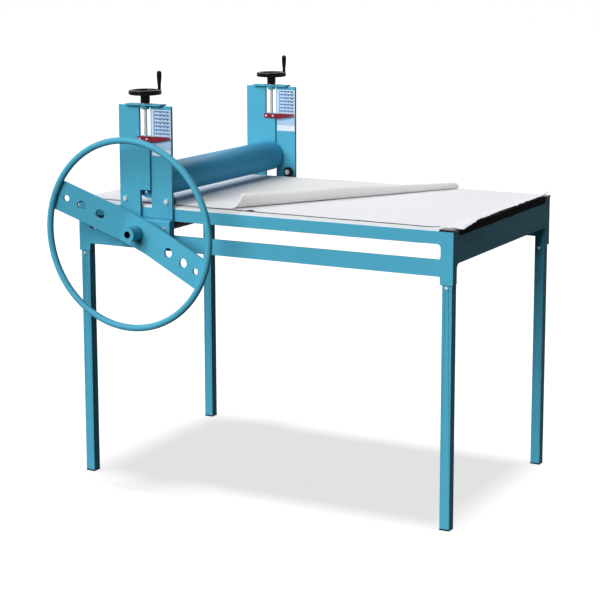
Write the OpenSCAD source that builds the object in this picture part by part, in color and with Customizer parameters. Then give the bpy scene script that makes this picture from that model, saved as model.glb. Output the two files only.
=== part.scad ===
// Clay slab roller: a steel table, a boarded bed with cloth on it, and a
// carriage that carries the pressing roller along the bed. The origin is on
// the floor below the middle of the whole machine's outline, X runs along the
// bed. Pieces are drawn from the middle of the table and moved there last.

/* [Table] */
// Height of the bed's working face above the floor
bed_h = 700; // [550:1:900]
// Length over the end panels
frame_l = 1013; // [900:1:1600]
// Width over the two aprons
frame_w = 616; // [480:1:900]
// Thickness of the folded steel sheet
sheet_t = 3; // [2:0.5:4]
// Height of an apron's rail above its window
rail_top_h = 29; // [24:1:36]
// Height of the window that the shaft runs in
window_h = 36; // [30:1:44]
// Height of an apron's rail below its window
rail_low_h = 38; // [26:1:60]
// Radius of the window's corners
window_r = 9; // [4:1:14]
// Width of an apron's corner tab, from the end of the table
tab_w = 32; // [28:1:44]
// How far the corner tabs hang below the rails
tab_drop = 18.5; // [8:0.5:24]
// Width of the flange that carries the board
flange_w = 30; // [27:1:44]

/* [Board] */
// Thickness of the board's top sheet
board_t = 5; // [4:0.5:8]
// Depth of the board's core below the top sheet
core_t = 12; // [8:1:16]

/* [Legs] */
// Side of a square leg tube
leg_w = 25; // [22:1:32]
// Wall of a leg tube
leg_wall = 2; // [1.5:0.5:3]
// Thickness of a foot cap's sole
foot_t = 3; // [2:0.5:6]
// Length of a corner plug inside its leg
plug_l = 140; // [132:1:180]
// Distance of a leg bolt below the bed's face
leg_bolt_drop = 132.5; // [130:0.5:136]

/* [Carriage] */
// Distance of the carriage's middle from the left end of the table
home_from_end = 206.5; // [206.5:0.5:400]
// Width of a post
post_w = 150; // [140:1:180]
// Thickness of a post
post_t = 8; // [6:0.5:12]
// Height of a post above the bed's face
post_up = 245; // [235:1:300]
// Width of the slot in a post
slot_w = 33; // [28:1:40]
// Depth of a lower bracket in front of its post
bracket_t = 14; // [10:1:24]
// Height of a lower bracket's front face
bracket_h = 66; // [58:1:80]
// Width of a cap plate on a post
cap_w = 102; // [90:1:140]
// Depth of a cap plate
cap_d = 28; // [24:1:40]
// Thickness of a cap plate
cap_t = 4; // [3:0.5:8]
// Diameter of a guide bearing
guide_d = 26; // [22:1:30]
// Width of a guide bearing
guide_t = 8; // [6:0.5:9]
// Distance of a guide bearing from the middle of its post
guide_reach = 59; // [55:1:62]

/* [Pressing roller] */
// Diameter of the pressing roller
roller_d = 80; // [60:1:84]
// Gap between the roller's face and the bearing block at each end
roller_end_gap = 3; // [1:0.5:8]
// Gap between the roller and the bed's face
roller_gap = 17; // [17:1:30]
// Diameter of the roller's axle ends
axle_d = 20; // [14:1:24]

/* [Spindles] */
// Diameter of a lifting spindle
spindle_d = 8.5; // [6:0.5:10]
// Outer diameter of a handwheel
handwheel_d = 80; // [64:1:100]
// Length of a crank handle
handle_l = 45; // [36:1:60]
// Turn of the handwheels as they stand, from the bed's direction
handle_turn = 29; // [0:1:90]

/* [Drive] */
// Distance of the drive shaft's axis below the bed's face
shaft_drop = 59; // [58.5:0.5:59.5]
// Diameter of the drive shaft under the bed
shaft_d = 31; // [24:1:36]
// Diameter of the drive shaft's journals
journal_d = 20; // [16:1:21]
// Tooth module of the pinions and racks
tooth_module = 2; // [2:0.5:2]
// Number of teeth on a pinion
pinion_teeth = 24; // [24:1:24]
// Width of a rack's and a pinion's teeth
tooth_w = 12; // [8:1:14]
// Diameter of the drive wheel, to the middle of its rim tube
wheel_d = 455; // [360:1:520]
// Diameter of the rim's tube
wheel_tube_d = 16; // [12:1:24]
// Width of the bar across the wheel
bar_w = 76; // [56:1:90]
// Thickness of the bar across the wheel
bar_t = 6; // [4:0.5:10]
// Angle of the bar, its right end down
bar_angle = 22.3; // [0:0.1:45]
// Diameter of the wheel's hub
hub_d = 36; // [30:1:50]

/* [Cloth] */
// Thickness of a canvas
cloth_t = 1.2; // [0.8:0.1:1.2]
// How far the lower canvas hangs over each end of the table
canvas_over = 13.5; // [4:0.5:30]
// How far the lower canvas stays inside each side of the table
canvas_inset = 16; // [6:0.5:40]
// Height of the fold in the upper canvas
fold_h = 13; // [8:0.5:13]

/* [Hidden] */
$fn = 64;

frame_blue = "#4DA3BD";
dark_plastic = "#1B1C1E";
zinc = "#C9CCCF";

// Clearances and cuts
cut = 1;
fit = 0.2;
running_fit = 0.05;
side_gap = 1;
soft_gap = 0.3;
edge_gap = 0.5;

// Table
x_end = frame_l / 2;
home_x = home_from_end - x_end;
y_side = frame_w / 2;
x_in = x_end - sheet_t;
y_in = y_side - sheet_t;
frame_top = bed_h - board_t;
window_top = frame_top - rail_top_h;
window_low = window_top - window_h;
apron_low = window_low - rail_low_h;
tab_low = apron_low - tab_drop;
window_x = x_end - tab_w + edge_gap * 2;
tab_fillet = 3;
lip_w = 7.5;
leg_x = x_in - leg_w / 2;
leg_y = y_in - leg_w / 2;
flange_y = y_in - flange_w;
panel_top = frame_top - core_t;
panel_h = 62.5;
panel_tab_low = tab_low + edge_gap * 3;
panel_fillet = 12;
panel_tab_w = 20;
corner_w = 34.5;
corner_over = 1.5;
corner_d = 28;
plug_w = leg_w - 2 * leg_wall - 2 * fit;
plug_wall = 2;
foot_plug_l = 15;
leg_bolt_z = bed_h - leg_bolt_drop;
leg_bolt_d = 5;
bolt_head_d = 9;
bolt_head_t = 3.5;

// Racks and pinions
pinion_r = tooth_module * pinion_teeth / 2;
shaft_z = bed_h - shaft_drop;
pitch_z = shaft_z + pinion_r;
tooth_pitch = PI * tooth_module;
backlash = 0.25;
rack_y = y_in - lip_w - edge_gap * 3 - tooth_w / 2;
rack_l = 2 * (x_in - leg_w - post_w / 2) + 2 * pinion_r + 2 * tooth_pitch;
root_depth = 1.25 * tooth_module;
pressure_angle = 20;
base_r = pinion_r * cos(pressure_angle);
flank_steps = 4;

// Carriage
post_in = y_side + side_gap;
post_out = post_in + post_t;
post_mid = (post_in + post_out) / 2;
post_top = bed_h + post_up;
bracket_drop = 41;
bracket_low = shaft_z - bracket_drop;
bracket_top = bracket_low + bracket_h;
bracket_rise = 7;
bracket_out = post_out + bracket_t;
slot_low = bracket_top + bracket_rise / 2 - edge_gap;
bolt_from_top = 16;
bracket_bolt_z = bracket_top - bolt_from_top;
bracket_bolt_d = 6;
guide_bore_d = 8;
guide_nut_d = 14.4;
guide_nut_t = 5;
guide_head_t = 4;
guide_z = bed_h + cloth_t + soft_gap + guide_d / 2;
guide_clear = 2;
guide_out = y_in - guide_clear;
guide_in = guide_out - guide_t;
scale_w = 54;
scale_h = 111.5;
scale_t = 0.6;
scale_gap = 3.5;
scale_x = slot_w / 2 + scale_gap;
scale_drop = 120.5;
scale_low = post_top - scale_drop;

// Yoke
roller_z = bed_h + roller_gap + roller_d / 2;
block_proud = 6;
block_in = post_in - block_proud;
block_out = post_out + block_proud;
roller_l = 2 * (block_in - roller_end_gap);
block_under = 17;
block_low = roller_z - block_under;
block_over = 114.5;
block_top = roller_z + block_over;
block_w = slot_w - 2 * fit;
pointer_t = 2;
pointer_h = 13;
pointer_left = slot_w / 2;
pointer_right = 74;
pointer_tip_h = 4.5;
rivet_d = 5;
rivet_x = 10;

// Spindles
thread_l = 47;
spindle_low = block_top - thread_l;
boss_h = 9;
boss_d = 20;
boss_top_d = 26;
cap_top = post_top + cap_t;
collar_t = 2;
collar_d = 18;
hub_low = cap_top + collar_t;
handwheel_hub_d = 23;
wheel_rise = 20;
rim_low = hub_low + wheel_rise;
rim_h = 12;
rim_w = 9;
handle_in = 5.5;
handle_r = handwheel_d / 2 - handle_in;
handle_low = rim_low + rim_h + edge_gap;
handle_d = 12;
handle_neck_d = 8.5;
pin_d = 4.5;

// Drive wheel
bar_gap = 30;
bar_front = bracket_out + bar_gap;
bar_flat = 38;
bar_slope = 0.19;
wheel_out = 92;
wheel_y = y_side + wheel_out;
wheel_r = wheel_d / 2;
tube_r = wheel_tube_d / 2;
hub_l = 41;
hub_front = bar_front + hub_l;
hub_bore_d = 17;
hub_bore_l = 14;
mid_x = (x_end + canvas_over + home_x - wheel_r - tube_r) / 2;
mid_y = (post_mid + handwheel_d / 2 - wheel_y - tube_r) / 2;
hole_r_shares = [0.4624, 0.6888, 0.8721];
hole_d_shares = [0.31, 0.30, 0.21];

// Cloth
canvas_l = frame_l + 2 * canvas_over;
canvas_w = frame_w - 2 * canvas_inset;
upper_left_share = 0.927;
upper_left = -x_end * upper_left_share;
upper_near = 38;
upper_far = 18;
fold_near_x = -83;
fold_far_x = 262;
fold_near = [fold_near_x, upper_near - y_side];
fold_far = [fold_far_x, y_side - upper_far];

// A square of side w, centred, with its corners rounded
module rounded_rect(l, h, r) {
    square([l - 2 * r, h], center = true);
    square([l, h - 2 * r], center = true);
    for (sx = [-1, 1]) {
        for (sz = [-1, 1]) {
            translate([sx * (l / 2 - r), sz * (h / 2 - r)]) circle(r = r);
        }
    }
}

// Stands a drawing of X and Z on the plane y and thickens it away from the viewer
module wall(y, t) {
    translate([0, y + t, 0]) rotate([90, 0, 0]) linear_extrude(t) children();
}

module rod(d, y0, y1) {
    translate([0, y1, 0]) rotate([90, 0, 0]) cylinder(d = d, h = y1 - y0);
}

// Fills an inner corner with a fillet; the corner is at the origin
module fillet(r) {
    difference() {
        square(r);
        translate([r, r]) circle(r = r);
    }
}

// Apron: windowed sheet, flange for the board and lip below the window
module apron_outline() {
    difference() {
        translate([-x_end, tab_low]) square([frame_l, frame_top - tab_low]);
        translate([-x_end + tab_w, tab_low - cut]) square([frame_l - 2 * tab_w, tab_drop + cut]);
        translate([0, (window_top + window_low) / 2]) rounded_rect(2 * window_x, window_h, window_r);
    }
    for (s = [-1, 1]) {
        translate([s * (x_end - tab_w), apron_low]) scale([-s, -1]) fillet(tab_fillet);
    }
}

module front_apron() {
    color(frame_blue) {
        wall(-y_side, sheet_t) apron_outline();
        translate([-(leg_x - leg_w / 2), -y_in, frame_top - sheet_t])
            cube([2 * leg_x - leg_w, flange_w, sheet_t]);
        translate([-(window_x - window_r), -y_in, window_low - sheet_t])
            cube([2 * (window_x - window_r), lip_w, sheet_t]);
    }
}

module rear_apron() {
    mirror([0, 1, 0]) front_apron();
}

// End panel: a sheet between the aprons, its ears as high as their tops
module panel_outline() {
    ear_w = y_in - leg_y + leg_w / 2 + edge_gap * 8;
    panel_low = panel_top - panel_h;
    tab_in = y_in - panel_tab_w;
    translate([-y_in, panel_low]) square([2 * y_in, panel_h]);
    for (s = [-1, 1]) {
        translate([s * (y_in - ear_w / 2) - ear_w / 2, panel_top]) square([ear_w, core_t]);
        translate([s * (y_in - panel_tab_w / 2) - panel_tab_w / 2, panel_tab_low])
            square([panel_tab_w, panel_low - panel_tab_low]);
        translate([s * tab_in, panel_low]) scale([-s, -1]) fillet(panel_fillet);
    }
}

module right_end_panel() {
    color(frame_blue)
        translate([x_in, 0, 0]) rotate([90, 0, 90]) linear_extrude(sheet_t) panel_outline();
}

module left_end_panel() {
    mirror([1, 0, 0]) right_end_panel();
}

module at_leg(sx, sy) {
    translate([sx * leg_x, sy * leg_y, 0]) children();
}

module square_bar(w, z0, z1) {
    translate([-w / 2, -w / 2, z0]) cube([w, w, z1 - z0]);
}

module leg(sx, sy) {
    color(frame_blue) at_leg(sx, sy) difference() {
        square_bar(leg_w, foot_t, frame_top);
        square_bar(leg_w - 2 * leg_wall, foot_t - cut, frame_top + cut);
        translate([0, 0, leg_bolt_z]) rod(leg_bolt_d, -leg_w, leg_w);
    }
}

module foot(sx, sy) {
    color(dark_plastic) at_leg(sx, sy) {
        square_bar(leg_w, 0, foot_t);
        square_bar(plug_w, 0, foot_t + foot_plug_l);
    }
}

// Corner plate on the frame, with a hollow plug down inside the leg
module corner(sx, sy) {
    color(dark_plastic) {
        scale([sx, sy, 1])
            translate([x_end - corner_w, y_side - corner_d, frame_top])
            cube([corner_w + corner_over, corner_d, board_t]);
        at_leg(sx, sy) difference() {
            square_bar(plug_w, frame_top - plug_l, frame_top);
            square_bar(plug_w - 2 * plug_wall, frame_top - plug_l - cut, frame_top - plug_wall);
            translate([0, 0, leg_bolt_z]) rod(leg_bolt_d, -leg_w, leg_w);
        }
    }
}

module domed_head(d, t) {
    cylinder(d1 = d, d2 = d * 0.7, h = t);
}

module leg_bolts() {
    color(zinc) for (sx = [-1, 1]) {
        for (sy = [-1, 1]) {
            at_leg(sx, sy) translate([0, 0, leg_bolt_z]) {
                rod(leg_bolt_d, -leg_w / 2, leg_w / 2);
                translate([0, -leg_w / 2, 0]) rotate([90, 0, 0]) domed_head(bolt_head_d, bolt_head_t);
                translate([0, leg_w / 2, 0]) rotate([-90, 0, 0]) domed_head(bolt_head_d, bolt_head_t);
            }
        }
    }
}

// Board: a top sheet notched for the corner plates, on a core between the flanges
module bed_board() {
    notch_x = x_end - corner_w - edge_gap;
    notch_y = y_side - corner_d - edge_gap;
    core_y = flange_y - edge_gap;
    color("#E9E7E2") {
        translate([-notch_x, -y_in, frame_top]) cube([2 * notch_x, 2 * y_in, board_t]);
        translate([-x_end, -notch_y, frame_top]) cube([frame_l, 2 * notch_y, board_t]);
        translate([-x_end, -core_y, panel_top]) cube([frame_l, 2 * core_y, core_t]);
    }
}

// Rack: straight teeth along the underside, one gap exactly over the pinion's top tooth
module front_rack() {
    teeth = floor(rack_l / tooth_pitch / 2);
    tip = tooth_module;
    half = tooth_pitch / 4 - backlash / 2;
    lean = tan(pressure_angle);
    rack_x = [-floor((rack_l / 2 + home_x) / tooth_pitch), floor((rack_l / 2 - home_x) / tooth_pitch)];
    points = [for (i = [rack_x[0] : rack_x[1] - 1]) for (q = [
        [-half - root_depth * lean, root_depth],
        [-half + tip * lean, -tip],
        [half - tip * lean, -tip],
        [half + root_depth * lean, root_depth]])
        [home_x + (i + 0.5) * tooth_pitch + q[0], pitch_z + q[1]]];
    x0 = home_x + rack_x[0] * tooth_pitch;
    x1 = home_x + rack_x[1] * tooth_pitch;
    top = frame_top - sheet_t;
    color(zinc) wall(-rack_y - tooth_w / 2, tooth_w)
        polygon(concat([[x0, top], [x0, pitch_z + root_depth]], points,
            [[x1, pitch_z + root_depth], [x1, top]]));
}

module rear_rack() {
    mirror([0, 1, 0]) front_rack();
}

// Pinion outline: involute flanks, in degrees round the pinion's centre
function involute_at(r) = let (a = acos(min(1, base_r / r))) tan(a) * 180 / PI - a;
function polar(r, a) = [r * sin(a), r * cos(a)];

module pinion_outline() {
    root_r = pinion_r - root_depth;
    tip_r = pinion_r + tooth_module * 0.95;
    half = 90 / pinion_teeth - backlash / pinion_r * 45 / PI + involute_at(pinion_r);
    radii = [for (k = [0 : flank_steps]) base_r + (tip_r - base_r) * k / flank_steps];
    points = [for (i = [0 : pinion_teeth - 1]) let (a = i * 360 / pinion_teeth)
        each concat([polar(root_r, a - half)],
            [for (k = [0 : flank_steps]) polar(radii[k], a - half + involute_at(radii[k]))],
            [for (k = [flank_steps : -1 : 0]) polar(radii[k], a + half - involute_at(radii[k]))],
            [polar(root_r, a + half)])];
    polygon(points);
}

module at_shaft() {
    translate([home_x, 0, shaft_z]) children();
}

module front_pinion() {
    color(zinc) at_shaft() difference() {
        wall(-rack_y - tooth_w / 2, tooth_w) pinion_outline();
        rod(journal_d, -y_side, 0);
    }
}

module rear_pinion() {
    mirror([0, 1, 0]) front_pinion();
}

module drive_shaft() {
    thick_y = rack_y - tooth_w / 2;
    color("#3B4B52") at_shaft() {
        rod(shaft_d, -thick_y, thick_y);
        rod(journal_d, -(hub_front - hub_bore_l), bracket_out + sheet_t);
        rod(hub_d - 4 * edge_gap, -(bar_front - bar_t), -(bracket_out + edge_gap));
    }
}

// Post: slotted from the top down to the lower bracket
module post_outline() {
    difference() {
        translate([-post_w / 2, bracket_low]) square([post_w, post_top - bracket_low]);
        translate([-slot_w / 2, slot_low]) square([slot_w, post_top - slot_low + cut]);
        translate([0, shaft_z]) circle(d = journal_d + 4 * edge_gap);
        for (s = [-1, 1]) {
            translate([s * guide_reach, guide_z]) circle(d = guide_bore_d);
            translate([s * guide_reach, bracket_bolt_z]) circle(d = bracket_bolt_d);
        }
    }
}

module front_post() {
    color(frame_blue) translate([home_x, 0, 0]) wall(-post_out, post_t) post_outline();
}

module rear_post() {
    mirror([0, 1, 0]) front_post();
}

// Cap plate, with a turned boss that guides the spindle in the slot
module front_cap() {
    color(frame_blue) translate([home_x, -post_mid, 0]) difference() {
        union() {
            translate([-cap_w / 2, -cap_d / 2, post_top]) cube([cap_w, cap_d, cap_t]);
            translate([0, 0, post_top - boss_h]) cylinder(d1 = boss_d, d2 = boss_top_d, h = boss_h);
        }
        translate([0, 0, post_top - boss_h - cut])
            cylinder(d = spindle_d + 2 * running_fit, h = boss_h + cap_t + 2 * cut);
    }
}

module rear_cap() {
    mirror([0, 1, 0]) front_cap();
}

// Lower bracket: carries the shaft's journal, its top slopes to the front
module front_bracket() {
    color(frame_blue) translate([home_x, 0, 0]) difference() {
        translate([-post_w / 2, 0, 0]) rotate([90, 0, 90]) linear_extrude(post_w) polygon([
            [-post_out, bracket_low], [-bracket_out, bracket_low],
            [-bracket_out, bracket_top], [-post_out, bracket_top + bracket_rise]]);
        translate([0, 0, shaft_z]) rod(journal_d + 2 * running_fit, -bracket_out - cut, -post_out + cut);
        for (s = [-1, 1]) {
            translate([s * guide_reach, 0, bracket_bolt_z])
                rod(bracket_bolt_d, -bracket_out - cut, -post_out + cut);
        }
    }
}

module rear_bracket() {
    mirror([0, 1, 0]) front_bracket();
}

module both_sides() {
    for (sy = [0, 1]) {
        mirror([0, sy, 0]) children();
    }
}

module bracket_bolts() {
    color(zinc) both_sides() for (s = [-1, 1]) {
        translate([home_x + s * guide_reach, 0, bracket_bolt_z]) {
            rod(bracket_bolt_d, -bracket_out, -post_in);
            translate([0, -bracket_out, 0]) rotate([90, 0, 0]) domed_head(bolt_head_d, bolt_head_t);
        }
    }
}

// Screws that carry the guide bearings, with a spacer, a head and an outer nut
module guide_screws() {
    shoulder_d = guide_bore_d + 4;
    color(zinc) both_sides() for (s = [-1, 1]) {
        translate([home_x + s * guide_reach, 0, guide_z]) {
            rod(guide_bore_d - 2 * running_fit, -guide_out, -guide_in);
            rod(guide_bore_d, -post_out, -post_in);
            rod(shoulder_d, -post_in, -guide_out - fit);
            difference() {
                rod(shoulder_d + 1, -guide_in + fit, -guide_in + fit + guide_head_t);
                rod(guide_bore_d / 2 + 1, -guide_in + guide_head_t / 2, -guide_in + fit + guide_head_t + cut);
            }
            rod(guide_bore_d - 2 * running_fit, -guide_out - fit, -guide_in + fit);
            translate([0, -post_out, 0]) rotate([90, 0, 0]) domed_head(guide_nut_d, guide_nut_t);
        }
    }
}

module guide_bearing(sx, sy) {
    color(dark_plastic) scale([1, -sy, 1]) translate([home_x + sx * guide_reach, 0, guide_z]) difference() {
        rod(guide_d, -guide_out, -guide_in);
        rod(guide_bore_d, -guide_out - cut, -guide_in + cut);
    }
}

// Bare scale plate on the viewer's side of a post
module scale_plate(y) {
    color("#DDE7EE") translate([home_x + scale_x, y, scale_low]) cube([scale_w, scale_t, scale_h]);
}

module front_scale() {
    scale_plate(-post_out - scale_t);
}

module rear_scale() {
    scale_plate(post_in - scale_t);
}

// Bearing block that slides in a post's slot, bored for the axle and the spindle
module front_block() {
    color(frame_blue) translate([home_x, 0, 0]) difference() {
        translate([-block_w / 2, -block_out, block_low])
            cube([block_w, block_out - block_in, block_top - block_low]);
        translate([0, 0, roller_z]) rod(axle_d + 2 * running_fit, -block_out - cut, -block_in + cut);
        translate([0, -post_mid, roller_z + axle_d / 2 + edge_gap * 4])
            cylinder(d = spindle_d + 2 * running_fit, h = block_top);
    }
}

module rear_block() {
    mirror([0, 1, 0]) front_block();
}

// Pointer: a red tongue that tapers over the scale
module pointer(y) {
    color("#8E2C3A") translate([home_x, 0, 0]) wall(y, pointer_t) difference() {
        polygon([[-pointer_left, block_top - pointer_h], [pointer_right * 0.4, block_top - pointer_h],
            [pointer_right, block_top - pointer_tip_h], [pointer_right, block_top],
            [-pointer_left, block_top]]);
        for (s = [-1, 1]) {
            translate([s * rivet_x, block_top - pointer_h / 2]) circle(d = rivet_d);
        }
    }
}

module front_pointer() {
    pointer(-block_out - pointer_t);
}

module rear_pointer() {
    pointer(block_in - pointer_t);
}

module pointer_rivets() {
    color(zinc) for (y = [-block_out, block_in]) {
        for (s = [-1, 1]) {
            translate([home_x + s * rivet_x, 0, block_top - pointer_h / 2])
                rod(rivet_d, y - pointer_t - edge_gap, y);
        }
    }
}

module pressing_roller() {
    color("#3A7390") translate([home_x, 0, roller_z]) {
        rod(roller_d, -roller_l / 2, roller_l / 2);
        rod(axle_d, -block_out + edge_gap, block_out - edge_gap);
    }
}

// Spindle with a turned top that the handwheel sits on
module front_spindle() {
    color(zinc) translate([home_x, -post_mid, spindle_low])
        cylinder(d = spindle_d, h = rim_low - spindle_low);
}

module rear_spindle() {
    mirror([0, 1, 0]) front_spindle();
}

module front_collar() {
    color(zinc) translate([home_x, -post_mid, cap_top + running_fit]) difference() {
        cylinder(d = collar_d, h = collar_t - running_fit);
        translate([0, 0, -cut]) cylinder(d = spindle_d, h = collar_t + 2 * cut);
    }
}

module rear_collar() {
    mirror([0, 1, 0]) front_collar();
}

module at_handle(sy) {
    translate([home_x, sy * post_mid, 0]) rotate([0, 0, handle_turn]) translate([handle_r, 0, 0]) children();
}

// Dished handwheel with a fixed pin for its crank handle
module handwheel(sy) {
    rim_r = handwheel_d / 2;
    hub_r = handwheel_hub_d / 2;
    web = rim_h / 4;
    top = rim_low + rim_h;
    color(dark_plastic) {
        translate([home_x, sy * post_mid, 0]) rotate_extrude() difference() {
            union() {
                translate([0, hub_low]) square([hub_r, rim_low - hub_low + web]);
                polygon([[0, rim_low], [hub_r, rim_low - web], [rim_r - rim_w / 2, rim_low + web / 2],
                    [rim_r - rim_w / 2, rim_low + 1.5 * web], [hub_r, rim_low + web],
                    [0, rim_low + 2 * web]]);
                translate([rim_r - rim_w / 2, rim_low + rim_h / 2]) rounded_rect(rim_w, rim_h, rim_w / 3);
            }
            translate([-cut, hub_low - cut]) square([spindle_d / 2 + cut, rim_low - hub_low + cut]);
            translate([-rim_r, hub_low - cut]) square([rim_r, rim_h * 4]);
        }
        at_handle(sy) translate([0, 0, top - rim_h / 2]) cylinder(d = pin_d, h = rim_h / 2 + handle_l * 0.7);
    }
}

// Crank handle: slim at its foot and full near its round top
module handle(sy) {
    r = handle_d / 2;
    neck = handle_neck_d / 2;
    bore = pin_d / 2 + running_fit;
    color(dark_plastic) at_handle(sy) translate([0, 0, handle_low]) rotate_extrude()
        difference() {
            union() {
                polygon([[0, 0], [neck, 0], [neck, handle_l * 0.08], [neck * 0.9, handle_l * 0.16],
                    [r * 0.9, handle_l * 0.5], [r, handle_l * 0.7], [r, handle_l - r * 0.8], [0, handle_l - r * 0.8]]);
                intersection() {
                    translate([0, handle_l - r * 0.8]) scale([1, 0.8]) circle(r = r);
                    translate([0, handle_l - r * 0.8]) square([r, r]);
                }
            }
            translate([0, -cut]) square([bore, handle_l * 0.75 + cut]);
        }
}

// Drive wheel, in front of the near bracket
module at_wheel() {
    translate([home_x, -wheel_y, shaft_z]) rotate([0, bar_angle, 0]) children();
}

module rim_torus() {
    rotate([90, 0, 0]) rotate_extrude($fn = 96) translate([wheel_r, 0]) circle(r = tube_r, $fn = 32);
}

module wheel_rim() {
    color(frame_blue) at_wheel() rim_torus();
}

// Flat bar bent forwards on both sides of the hub, with three holes in each arm
module wheel_bar() {
    reach = wheel_r - tube_r / 2;
    lean = bar_slope * (reach - bar_flat);
    y0 = wheel_y - bar_front;
    color(frame_blue) at_wheel() difference() {
        translate([0, 0, -bar_w / 2]) linear_extrude(bar_w) polygon([
            [-bar_flat, y0], [-reach, y0 - lean], [-reach, y0 - lean + bar_t], [-bar_flat, y0 + bar_t],
            [bar_flat, y0 + bar_t], [reach, y0 - lean + bar_t], [reach, y0 - lean], [bar_flat, y0]]);
        rim_torus();
        rod(journal_d, -wheel_y, wheel_y);
        for (s = [-1, 1]) {
            for (k = [0 : len(hole_r_shares) - 1]) {
                translate([s * hole_r_shares[k] * wheel_r, 0, 0])
                    rod(hole_d_shares[k] * bar_w, -wheel_y, wheel_y);
            }
        }
    }
}

module wheel_hub() {
    color(frame_blue) at_shaft() difference() {
        rod(hub_d, -hub_front, -bar_front);
        rod(journal_d, -hub_front + hub_bore_l, -bar_front + cut);
        rod(hub_bore_d, -hub_front - cut, -bar_front);
    }
}

// Canvas on the board, with a gently waved outline
module lower_canvas() {
    steps = 60;
    wave = cloth_t * 2.5;
    turn = 360 / steps;
    near = [for (i = [0 : steps]) [canvas_l * (i / steps - 0.5),
        -canvas_w / 2 + wave * sin(i * turn * 3) + wave * cos(i * turn * 5)]];
    far = [for (i = [steps : -1 : 0]) [canvas_l * (i / steps - 0.5),
        canvas_w / 2 - wave * sin(i * turn * 2) - wave]];
    color("#EDEEF2") translate([0, 0, bed_h]) linear_extrude(cloth_t) polygon(concat(near, far));
}

// Upper canvas: one layer under the roller, its right part folded back along a slanting line
module upper_canvas() {
    d = fold_far - fold_near;
    fold_len = norm(d);
    angle = atan2(d[1], d[0]);
    reach = frame_l;
    crest = fold_h * 1.2;
    tail = fold_h * 6;
    t = cloth_t;
    far_y = fold_far[1];
    near_y = fold_near[1];
    rise = fold_h - 2 * t;
    arc = [for (k = [0 : 8]) let (a = 90 - k * 22.5) [-cos(a), sin(a)]];
    slope = [for (k = [1 : 8]) let (u = k / 8) [crest + (tail - crest) * u, (1 + cos(180 * u)) / 2]];
    outer = concat([for (q = arc) [crest + q[0] * crest, fold_h / 2 - q[1] * fold_h / 2]],
        [for (q = slope) [q[0], 2 * t + rise * q[1]]]);
    inner = concat([for (q = slope) [q[0], t + rise * q[1]]]);
    color("#EDEAE0") translate([0, 0, bed_h + cloth_t]) {
        linear_extrude(t) polygon([[upper_left, near_y], fold_near, fold_far, [upper_left, far_y]]);
        intersection() {
            translate([fold_near[0], fold_near[1], 0]) rotate([0, 0, angle])
                translate([-fold_len, 0, 0]) rotate([90, 0, 90]) linear_extrude(3 * fold_len) difference() {
                    polygon(concat([[crest, 0]], outer, [[reach, 2 * t], [reach, 0]]));
                    polygon(concat([for (k = [7 : -1 : 0]) inner[k]],
                        [for (k = [8 : -1 : 0]) [crest + arc[k][0] * (crest - t),
                            fold_h / 2 - arc[k][1] * (fold_h / 2 - t)]]));
                }
            linear_extrude(fold_h + cut) polygon([fold_near, fold_far,
                [fold_near[0] - (far_y - near_y) * tan(2 * angle - 90), far_y]]);
        }
    }
}

module leg_front_left() { leg(-1, -1); }
module leg_front_right() { leg(1, -1); }
module leg_rear_left() { leg(-1, 1); }
module leg_rear_right() { leg(1, 1); }
module foot_front_left() { foot(-1, -1); }
module foot_front_right() { foot(1, -1); }
module foot_rear_left() { foot(-1, 1); }
module foot_rear_right() { foot(1, 1); }
module corner_front_left() { corner(-1, -1); }
module corner_front_right() { corner(1, -1); }
module corner_rear_left() { corner(-1, 1); }
module corner_rear_right() { corner(1, 1); }
module front_handwheel() { handwheel(-1); }
module rear_handwheel() { handwheel(1); }
module front_handle() { handle(-1); }
module rear_handle() { handle(1); }
module guide_front_left() { guide_bearing(-1, -1); }
module guide_front_right() { guide_bearing(1, -1); }
module guide_rear_left() { guide_bearing(-1, 1); }
module guide_rear_right() { guide_bearing(1, 1); }

translate([-mid_x, -mid_y, 0]) {
    front_apron();
    rear_apron();
    left_end_panel();
    right_end_panel();
    leg_front_left();
    leg_front_right();
    leg_rear_left();
    leg_rear_right();
    foot_front_left();
    foot_front_right();
    foot_rear_left();
    foot_rear_right();
    corner_front_left();
    corner_front_right();
    corner_rear_left();
    corner_rear_right();
    leg_bolts();
    bed_board();
    front_rack();
    rear_rack();
    lower_canvas();
    upper_canvas();
    front_post();
    rear_post();
    front_cap();
    rear_cap();
    front_bracket();
    rear_bracket();
    bracket_bolts();
    guide_screws();
    front_scale();
    rear_scale();
    guide_front_left();
    guide_front_right();
    guide_rear_left();
    guide_rear_right();
    drive_shaft();
    front_pinion();
    rear_pinion();
    wheel_rim();
    wheel_bar();
    wheel_hub();
    front_block();
    rear_block();
    front_pointer();
    rear_pointer();
    pointer_rivets();
    pressing_roller();
    front_spindle();
    rear_spindle();
    front_collar();
    rear_collar();
    front_handwheel();
    rear_handwheel();
    front_handle();
    rear_handle();
}
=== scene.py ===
"""Clay slab roller: materials, cloth, printed scales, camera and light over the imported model."""

import math
import bmesh
import bpy
from mathutils import Matrix, Vector, noise

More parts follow.
